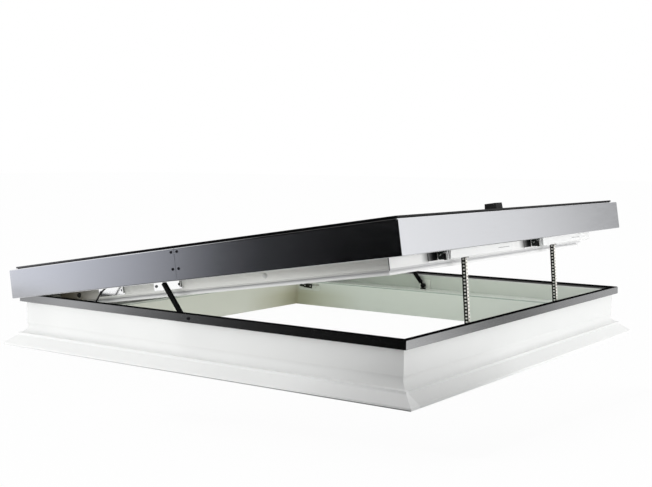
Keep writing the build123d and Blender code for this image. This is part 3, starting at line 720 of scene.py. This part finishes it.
def bar_outline(start, end, width):
    """A straight bar between two points, of the given width."""
    line = Vector(end) - Vector(start)
    across = Vector((-line.y, line.x)).normalized() * (width / 2)
    return [tuple(Vector(start) - across), tuple(Vector(end) - across),
            tuple(Vector(end) + across), tuple(Vector(start) + across)]


# Chains, in the sizes of the drive's roller chain
PITCH = 0.009525
LINK_HALF_HEIGHT = 0.0045
LINK_WAIST = 0.0042
LINK_PLATE = 0.0017
LINK_INNER = 0.0033
ROLLER = 0.0034
BLOCK_HALF_HEIGHT = 0.0022
BLOCK_HALF_WIDTH = 0.0036
RIVET = 0.0024
RIVET_HEAD = 0.0008
LIT_FACE_SHEET = 0.0004
FORK_RADIUS = 0.006
ARC_STEPS = 10


def link_outline():
    """A waisted link plate with its lower pin at the origin."""
    outline = []
    for centre, start in ((PITCH, 0), (0, pi)):
        for step in range(ARC_STEPS + 1):
            angle = start + pi * step / ARC_STEPS
            outline.append((LINK_HALF_HEIGHT * cos(angle), centre + LINK_HALF_HEIGHT * sin(angle)))
        outline.append((LINK_WAIST * cos(start + pi), PITCH / 2))
    return outline


def add_chain(hand, plate_dark, lit_face_paint, black_and_shade, roller_white):
    """Links from the anchor's pin up to the drive."""
    foot = Vector(JOINTS[f"chain_{hand}_lean"]["pos_m"])
    top = Vector(JOINTS[f"drive_{hand}_tilt"]["pos_m"])
    along = (top - foot).normalized()
    links = int(((top - foot).length - PITCH) / PITCH)
    plates = Shape()
    lit_faces = Shape()
    waist_shades = Shape()
    rollers = Shape()
    middle = PITCH / 2
    block_ends = ((0, middle - BLOCK_HALF_HEIGHT), (0, middle + BLOCK_HALF_HEIGHT))
    block = bar_outline(*block_ends, 2 * BLOCK_HALF_WIDTH)
    outline = link_outline()
    face = bar_outline((0, 0), (0, PITCH), 2 * LINK_HALF_HEIGHT)
    end = LINK_INNER + 2 * LINK_PLATE
    for link in range(links):
        place = axes_place(foot + along * (PITCH * (link + 1)), (1, 0, 0), along)
        for low in (LINK_INNER, -end):
            plates.cut(place, outline, low, low + 2 * LINK_PLATE)
        # Pale sheet on each link's lit side: painted light.
        lit_faces.cut(place, face, end, end + LIT_FACE_SHEET)
        rollers.turned(place, ((ROLLER, -LINK_INNER), (ROLLER, LINK_INNER)))
        if link < links - 1:
            # Black block in each link's waist: painted shade in the gap between the plates.
            waist_shades.cut(place, block, -LINK_INNER, LINK_INNER)
        plates.turned(place, (
            (RIVET * 0.6, -end - RIVET_HEAD), (RIVET, -end - RIVET_HEAD * 0.4), (RIVET, -end),
            (RIVET, end), (RIVET, end + RIVET_HEAD * 0.4), (RIVET * 0.6, end + RIVET_HEAD),
        ))
    end_link = Shape()
    fork = axes_place(foot, (0, 1, 0), (0, 0, 1))
    end_link.turned(fork, ((FORK_RADIUS, -FORK_RADIUS), (FORK_RADIUS, FORK_RADIUS)))
    tang = bar_outline((0, 0), (0, FORK_RADIUS + RIVET), 2 * LINK_HALF_HEIGHT)
    end_link.cut(axes_place(foot, (1, 0, 0), along), tang, -LINK_INNER, LINK_INNER)
    piece = end_link.make(f"chain_end_{hand}", black_and_shade)
    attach(piece, f"chain_{hand}")
    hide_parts(f"chain_{hand}")
    pieces = (
        (plates, "plates", plate_dark), (lit_faces, "lit_faces", lit_face_paint),
        (waist_shades, "waist_shades", black_and_shade), (rollers, "rollers", roller_white),
    )
    for shape, name, material in pieces:
        piece = shape.make(f"chain_{name}_{hand}", material)
        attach(piece, f"chain_{hand}")
        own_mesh(piece)
        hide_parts(f"chain_{hand}")


# Cast end of each drive, drawn with the lid shut and moved with the drive
DRIVE_FAR, DRIVE_NEAR = 0.620, 0.658
DRIVE_LOW, DRIVE_HIGH = 0.120, 0.165
DRIVE_PIVOT = Vector((0, -0.646, 0.142))
END_RIM = 0.0035
END_RELIEF = 0.0022
END_RIB = 0.0022
END_BOSS, END_BOSS_TOP = 0.0075, 0.0060
END_SCREW = 0.0030
END_SCREW_SHARES = ((0.2, 0.3), (0.42, 0.75), (0.2, 0.75))
END_SCREW_SIDE, END_SCREW_TOP = 0.0018, 0.0026


def drive_turn(hand):
    """From the shut drawing to the drive's resting place."""
    foot = Vector(JOINTS[f"chain_{hand}_lean"]["pos_m"])
    top = Vector(JOINTS[f"drive_{hand}_tilt"]["pos_m"])
    lean = Vector((0, 0, 1)).angle(top - foot)
    middle = Vector((0, top.y, top.z))
    return Matrix.Translation(middle) @ Matrix.Rotation(-lean, 4, "X") @ Matrix.Translation(-DRIVE_PIVOT)


def add_drive_end(hand, cast, bright):
    """Rim, ribs, boss and screws on the drive's outer end face."""
    face = drive_turn(hand) @ axes_place((DRIVE_STARTS[hand], 0, 0), (0, 1, 0), (0, 0, -1))
    far, near = -DRIVE_FAR, -END_BORDER
    low, high = -DRIVE_LOW, -DRIVE_HIGH
    middle = ((far + near) / 2, (low + high) / 2)
    rim = END_RIM / 2
    corners = (
        (far - rim, low - rim), (near + rim, low - rim), (near + rim, high + rim), (far - rim, high + rim),
    )
    ribs = Shape()
    for index, corner in enumerate(corners):
        ribs.cut(face, bar_outline(corner, corners[(index + 1) % 4], END_RIM), 0, END_RELIEF)
        ribs.cut(face, bar_outline(corner, middle, END_RIB), 0, END_RELIEF * 0.8)
    boss = face @ Matrix.Translation((*middle, 0))
    ribs.turned(boss, ((END_BOSS, 0), (END_BOSS, END_RELIEF), (END_BOSS_TOP, END_RELIEF * 1.2)))
    piece = ribs.make(f"drive_end_ribs_{hand}", cast)
    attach(piece, f"drive_{hand}")
    screws = Shape()
    for share_y, share_z in END_SCREW_SHARES:
        spot = Matrix.Translation((far + share_y * (near - far), low + share_z * (high - low), 0))
        screws.turned(face @ spot, (
            (END_SCREW, 0), (END_SCREW, END_SCREW_SIDE), (END_SCREW * 0.7, END_SCREW_TOP),
        ))
    piece = screws.make(f"drive_end_screws_{hand}", bright)
    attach(piece, f"drive_{hand}")


# Black strip under each chain slot as painted shadow of the slot's edge, and the pressed mark on each drive's
# front
SLOT_SHADE_REACH = (-0.022, 0.006)
SLOT_SHADE_SIZE = (0.0020, 0.0014)
MARKS = {"left": (-0.095, -0.024), "right": (0.437, 0.502)}
MARK_HEIGHT = 0.1335
MARK_SIZE = (0.0018, 0.0004)


def add_drive_marks(hand, black, grey_coat):
    """Black strip under the drive as painted shadow of the chain slot's edge, and the line pressed into its
    front.
    """
    turn = drive_turn(hand)
    depth, height = SLOT_SHADE_SIZE
    start, end = (JOINTS[f"drive_{hand}_tilt"]["pos_m"][0] + reach for reach in SLOT_SHADE_REACH)
    front = -DRIVE_NEAR
    under = turn @ axes_place((0, 0, DRIVE_LOW - height), (1, 0, 0), (0, 1, 0))
    # Painted shadow along the chain slot's edge.
    slot_shade = Shape()
    slot_shade.cut(under, ((start, front), (end, front), (end, front + depth), (start, front + depth)), 0, height)
    piece = slot_shade.make(f"chain_guide_{hand}", black, smooth=False)
    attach(piece, f"drive_{hand}")
    face = turn @ axes_place((0, front, 0), (1, 0, 0), (0, 0, 1))
    width, proud = MARK_SIZE
    start, end = MARKS[hand]
    mark = Shape()
    mark.cut(face, bar_outline((start, MARK_HEIGHT), (end, MARK_HEIGHT), width), 0, proud)
    piece = mark.make(f"drive_mark_{hand}", grey_coat, smooth=False)
    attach(piece, f"drive_{hand}")


# Dark sheets on the inner half of each drive's strap, above and below its pivot, as painted shade for the gap
# beside the strap
STRAP_OUT = 0.0070
SHADE_SHEET_THICKNESS = 0.0006
SHADE_SHEET_ACROSS = (-0.6465, -0.6396)
SHADE_SHEET_HEIGHTS = ((0.1195, 0.1375), (0.1465, 0.1600))


def add_strap_shade_sheets(hand, material):
    place = LID_TURN @ axes_place((DRIVE_STARTS[hand] - STRAP_OUT, 0, 0), (0, 1, 0), (0, 0, 1))
    # Painted shade beside the strap.
    shade_sheets = Shape()
    near, far = SHADE_SHEET_ACROSS
    for low, high in SHADE_SHEET_HEIGHTS:
        shade_sheets.cut(place, ((near, low), (far, low), (far, high), (near, high)), -SHADE_SHEET_THICKNESS, 0)
    piece = shade_sheets.make(f"strap_shade_sheets_{hand}", material, smooth=False)
    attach(piece, "lid")


# Black latch on each wall bracket, and the clevis under each strut's foot
BRACKET_FACE = 0.5975
LATCH_DEPTH = 0.0030
LATCH_BAR = ((0.579, 0.0785), (0.556, 0.0765), 0.0090)
LATCH_LINK = ((0.560, 0.0765), (0.545, 0.0765), 0.0045)
LATCH_BODY = ((0.558, 0.0790), (0.520, 0.0770), 0.0170)
LATCH_TAIL = ((0.517, 0.0830), (0.486, 0.0830), 0.0060)
LATCH_PIN, LATCH_PIN_TOP = 0.0032, 0.0028
LATCH_PIN_INSET = 0.006
LATCH_PIN_SIDE, LATCH_PIN_PROUD = 0.0004, 0.0012
CLEVIS_SIZE = (0.0055, 0.0090)
CLEVIS_HEIGHTS = (0.0981, 0.1035)
CLEVIS_SHARES = (1.0, 0.8)


def add_wall_latch(hand, black, grey_steel):
    """Bars of the black latch, with a steel tail and two pins."""
    side = 1 if hand == "right" else -1
    place = axes_place((side * BRACKET_FACE, 0, 0), (0, 1, 0), (0, 0, 1))
    depth = (-LATCH_DEPTH, 0) if side > 0 else (0, LATCH_DEPTH)
    latch = Shape()
    for start, end, width in (LATCH_BAR, LATCH_LINK, LATCH_BODY):
        latch.cut(place, bar_outline(start, end, width), *depth)
    piece = latch.make(f"wall_latch_{hand}", black, smooth=False)
    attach(piece, "frame")
    tail = Shape()
    tail.cut(place, bar_outline(*LATCH_TAIL), *depth)
    (start_y, start_z), (end_y, end_z), _ = LATCH_BODY
    for y, z in ((start_y - LATCH_PIN_INSET, start_z), (end_y + LATCH_PIN_INSET, end_z)):
        tail.turned(place @ Matrix.Translation((y, z, depth[0])), (
            (LATCH_PIN_TOP, -LATCH_PIN_PROUD), (LATCH_PIN, -LATCH_PIN_SIDE),
            (LATCH_PIN, LATCH_DEPTH + LATCH_PIN_SIDE), (LATCH_PIN_TOP, LATCH_DEPTH + LATCH_PIN_PROUD),
        ))
    piece = tail.make(f"wall_latch_tail_{hand}", grey_steel)
    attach(piece, "frame")


def add_clevis(hand, black):
    """Tapered block under the strut's foot."""
    foot = Vector(JOINTS[f"strut_{hand}_foot"]["pos_m"])
    half_x, half_y = CLEVIS_SIZE
    corners = ((-half_x, -half_y), (half_x, -half_y), (half_x, half_y), (-half_x, half_y))
    rings = []
    for height, share in zip(CLEVIS_HEIGHTS, CLEVIS_SHARES):
        rings.append([Vector((foot.x + share * x, foot.y + share * y, height)) for x, y in corners])
    block = Shape()
    block.rings(rings)
    piece = block.make(f"strut_clevis_{hand}", black, smooth=False)
    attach(piece, "frame")


# Motor lead beside the left sash
LEAD_RADIUS = 0.0025
LEAD_SIDES = 12
LEAD_ROUTE = (
    (-0.6235, 0.358, 0.207),
    (-0.632, 0.358, 0.207),
    (-0.643, 0.368, 0.203),
    (-0.649, 0.386, 0.190),
    (-0.651, 0.403, 0.170),
    (-0.650, 0.418, 0.148),
    (-0.648, 0.428, 0.131),
    (-0.649, 0.432, 0.120),
    (-0.654, 0.434, 0.113),
    (-0.660, 0.434, 0.113),
)


def route_points(route):
    """Points along the smooth curve that the route's points steer."""
    data = bpy.data.curves.new("lead_route", "CURVE")
    data.dimensions = "3D"
    data.resolution_u = 8
    spline = data.splines.new("NURBS")
    spline.points.add(len(route) - 1)
    for point, place in zip(spline.points, route):
        point.co = (*place, 1)
    spline.order_u = 3
    spline.use_endpoint_u = True
    holder = bpy.data.objects.new("lead_route", data)
    bpy.context.scene.collection.objects.link(holder)
    bpy.context.view_layer.update()
    mesh = bpy.data.meshes.new_from_object(holder)
    points = [vertex.co.copy() for vertex in mesh.vertices]
    bpy.data.objects.remove(holder)
    bpy.data.meshes.remove(mesh)
    return points


def add_lead(material):
    """Round lead along its route, which runs from the lid down to the frame."""
    points = route_points(LEAD_ROUTE)
    rings = []
    side = Vector((0, 1, 0))
    for index, point in enumerate(points):
        ahead = points[min(index + 1, len(points) - 1)] - points[max(index - 1, 0)]
        across = ahead.cross(side).normalized()
        side = across.cross(ahead).normalized()
        ring = []
        for step in range(LEAD_SIDES):
            angle = 2 * pi * step / LEAD_SIDES
            ring.append(point + (side * cos(angle) + across * sin(angle)) * LEAD_RADIUS)
        rings.append(ring)
    shape = Shape()
    shape.rings(rings)
    lead = shape.make("motor_lead_curve", material)
    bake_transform(lead)
    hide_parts("motor_lead")


# Studio: white floor and surround, cards for the metal to mirror, and black flags
FLOOR_HALF = 30.0
FLOOR_TONE = (0.93, 0.93, 0.93)
FLOOR_GLOW = 0.96
WORLD_LIGHT = 0.80


def seen_rays(tree):
    """1 for camera, mirror and glass rays, and 0 for the light that falls on other surfaces."""
    rays = tree.nodes.new("ShaderNodeLightPath")
    seen = rays.outputs["Is Camera Ray"]
    for name in ("Is Glossy Ray", "Is Transmission Ray"):
        joined = tree.nodes.new("ShaderNodeMath")
        joined.operation = "MAXIMUM"
        tree.links.new(seen, joined.inputs[0])
        tree.links.new(rays.outputs[name], joined.inputs[1])
        seen = joined.outputs["Value"]
    return seen


def quad(name, corners, material):
    """A flat panel of the studio."""
    mesh = bpy.data.meshes.new(name)
    mesh.from_pydata([Vector(corner) for corner in corners], [], [(0, 1, 2, 3)])
    mesh.materials.append(material)
    panel = bpy.data.objects.new(name, mesh)
    bpy.context.scene.collection.objects.link(panel)
    return panel


def add_floor():
    """Pale floor that shows nearly white, so that only a trace of shadow stays."""
    nodes = Nodes("floor_white")
    nodes.shader.inputs["Base Color"].default_value = (*FLOOR_TONE, 1)
    nodes.set({"Roughness": 0.9})
    glow = nodes.add("ShaderNodeEmission")
    glow.inputs["Color"].default_value = (1, 1, 1, 1)
    share = nodes.add("ShaderNodeMath", operation="MULTIPLY")
    share.inputs[1].default_value = FLOOR_GLOW
    nodes.join(seen_rays(nodes.tree), share.inputs[0])
    nodes.surface(nodes.mixed(share.outputs["Value"], nodes.shader.outputs["BSDF"], glow.outputs["Emission"]))
    edge = FLOOR_HALF
    quad("floor", ((-edge, -edge, 0), (edge, -edge, 0), (edge, edge, 0), (-edge, edge, 0)), nodes.material)


def add_world():
    """White surround, a little dimmer as a light than it looks."""
    world = bpy.data.worlds.new("studio")
    world.use_nodes = True
    tree = world.node_tree
    background = tree.nodes["Background"]
    background.inputs["Color"].default_value = (1, 1, 1, 1)
    level = tree.nodes.new("ShaderNodeMapRange")
    level.inputs["To Min"].default_value = WORLD_LIGHT
    level.inputs["To Max"].default_value = 1.0
    tree.links.new(seen_rays(tree), level.inputs["Value"])
    tree.links.new(level.outputs["Result"], background.inputs["Strength"])
    bpy.context.scene.world = world


# Brightness of each card at places along its length
NEUTRAL = (1.0, 1.0, 1.0)
COOL = (0.97, 0.99, 1.07)
LEFT_GLOW = (
    (0.15, 0.0), (0.33, 0.003), (0.46, 0.03), (0.53, 0.09), (0.60, 0.23), (0.72, 0.46), (0.90, 0.75),
)
CAP_GLOW = (
    (0.20, 0.003), (0.43, 0.02), (0.52, 0.045), (0.60, 0.11), (0.70, 0.24), (0.85, 0.68), (0.93, 0.46),
)
PLATE_GLOW = ((0.0, 1.0), (1.0, 1.0))
RIGHT_GLOW = ((0.0, 1.0), (0.15, 0.9), (0.42, 0.84), (0.66, 0.41), (1.0, 0.28))
FRONT_GLOW = ((0.0, 0.9), (0.3, 0.31), (0.41, 0.24), (0.7, 0.52), (1.0, 0.62))
FLOOR_GAP = 0.001


def card_material(name, levels, tint):
    """A studio card shaded from end to end."""
    nodes = Nodes(name)
    glow = nodes.add("ShaderNodeEmission")
    split = nodes.add("ShaderNodeSeparateXYZ")
    coordinates = nodes.add("ShaderNodeTexCoord")
    nodes.join(coordinates.outputs["UV"], split.inputs["Vector"])
    stops = [(place, [level * channel for channel in tint]) for place, level in levels]
    nodes.join(nodes.ramp(split.outputs["X"], stops), glow.inputs["Color"])
    nodes.surface(glow.outputs["Emission"])
    return nodes.material


def add_card(name, start, end, height, apron, levels, tint=NEUTRAL):
    """An upright card between two floor points, with an apron on the floor, seen only in reflections."""
    low = [Vector((x, y, FLOOR_GAP)) for x, y in (start, end)]
    forward = Vector((*apron, 0))
    rows = (
        [point + forward for point in low],
        low,
        [point + Vector((0, 0, height)) for point in low],
    )
    corners = [corner for row in rows for corner in row]
    mesh = bpy.data.meshes.new(name)
    mesh.from_pydata(corners, [], [(0, 1, 3, 2), (2, 3, 5, 4)])
    mesh.materials.append(card_material(name, levels, tint))
    layer = mesh.uv_layers.new(name="along")
    for loop in mesh.loops:
        layer.data[loop.index].uv = (loop.vertex_index % 2, 0.5)
    card = bpy.data.objects.new(name, mesh)
    bpy.context.scene.collection.objects.link(card)
    card.visible_camera = False
    card.visible_diffuse = False
    card.visible_shadow = False
    card.visible_transmission = False


def add_lamp(name, place, target, size, power):
    """A soft lamp that no metal mirrors."""
    data = bpy.data.lights.new(name, "AREA")
    data.shape = "RECTANGLE"
    data.size, data.size_y = size
    data.energy = power
    lamp = bpy.data.objects.new(name, data)
    aim = Vector(target) - Vector(place)
    lamp.matrix_world = Matrix.Translation(place) @ aim.to_track_quat("-Z", "Y").to_matrix().to_4x4()
    lamp.visible_glossy = False
    bpy.context.scene.collection.objects.link(lamp)


LID_FLAGS = {"near": ((-0.12, 0.0), (-0.705, 0.021)), "hinge": ((0.30, 0.0), (0.56, 0.006))}
LID_FLAG_LINE, LID_FLAG_TOP = -0.700, 0.145


def flag_black(name):
    nodes = Nodes(name)
    nodes.set({"Base Color": (0.01, 0.01, 0.01, 1), "Roughness": 0.9})
    return nodes.material


def hold_light(flag):
    """Leaves a panel with its shade alone."""
    flag.visible_camera = False
    flag.visible_glossy = False
    flag.visible_transmission = False


def add_flag(name, start, end, heights):
    """A black panel beside the camera that holds light off the near corner."""
    floor_line = [Vector((x, y, FLOOR_GAP)) for x, y in (start, end)]
    top = [Vector((x, y, height)) for (x, y), height in zip((start, end), heights)]
    hold_light(quad(name, (floor_line[0], floor_line[1], top[1], top[0]), flag_black(name)))


def add_lid_flags():
    """Black panels hung along the skirt's lower left edge, deepest at its two ends."""
    black = flag_black("lid_flag")
    for name, ends in LID_FLAGS.items():
        edge = [LID_TURN @ Vector((LID_FLAG_LINE, y, LID_FLAG_TOP)) for y, _ in ends]
        hem = [corner - Vector((0, 0, drop)) for corner, (_, drop) in zip(edge, ends)]
        hold_light(quad(f"lid_flag_{name}", (edge[0], edge[1], hem[1], hem[0]), black))


def add_studio():
    add_floor()
    add_world()
    add_lamp("left_softbox", (-4.2, 1.6, 0.8), (-0.7, 0.3, 0.15), (3.0, 1.2), 60)
    add_lamp("right_softbox", (0.9, -4.4, 0.7), (-0.1, -0.7, 0.25), (3.0, 1.2), 72)
    add_flag("left_flag", (-1.10, -0.30), (-1.0, -1.05), (0.1, 0.42))
    add_flag("corner_flag", (-1.0, -1.05), (-0.15, -1.12), (0.16, 0.1))
    add_lid_flags()
    add_card("left_card", (-1.15, -1.0), (-1.15, 1.35), 0.6, (0.40, 0), LEFT_GLOW, COOL)
    add_card("cap_card", (-1.145, -1.0), (-1.145, 1.35), 0.098, (0.40, 0), CAP_GLOW)
    add_card("plate_card", (-0.70, 0.05), (-0.70, 0.60), 0.26, (0.001, 0), PLATE_GLOW)
    add_card("right_card", (2.6, -2.8), (2.6, -0.7), 1.6, (-0.5, 0), RIGHT_GLOW)
    add_card("front_card", (-0.3, -1.05), (1.9, -1.05), 0.15, (0, 0.30), FRONT_GLOW)


def add_pieces():
    chain_dark = bare_metal("chain_plate_steel", (0.045, 0.042, 0.036), 0.25, 0.4)
    # Painted light for the chains' lit side.
    lit_side_paint = white_coat("chain_painted_light", (0.93, 0.91, 0.85), 0.35)
    # Black for the chains' end links, and painted shade for the link waists, chain slots and strap gaps.
    chain_black = black_coat("chain_black_and_shade", (0.006, 0.006, 0.005), 0.5)
    # White rollers, which give the bright dots between the link plates.
    chain_white = white_coat("chain_roller_white", (0.93, 0.92, 0.88), 0.4)
    mark = white_coat("drive_mark_grey", (0.42, 0.42, 0.43), 0.4)
    latch = black_coat("latch_black", (0.010, 0.010, 0.008), 0.45)
    cast = black_coat("drive_casting", (0.05, 0.062, 0.056), 0.3)
    screw = bare_metal("drive_screw_steel", (0.55, 0.57, 0.56), 0.2, 0.35)
    for hand in HANDS:
        add_chain(hand, chain_dark, lit_side_paint, chain_black, chain_white)
        add_drive_end(hand, cast, screw)
        add_drive_marks(hand, chain_black, mark)
        add_strap_shade_sheets(hand, chain_black)
        add_wall_latch(hand, latch, screw)
        add_clevis(hand, latch)
    add_lead(black_coat("lead_rubber", (0.006, 0.006, 0.006), 0.45))


scene = bpy.context.scene
scene.view_settings.view_transform = "Standard"
add_camera()
dress_all()
add_pieces()
add_studio()
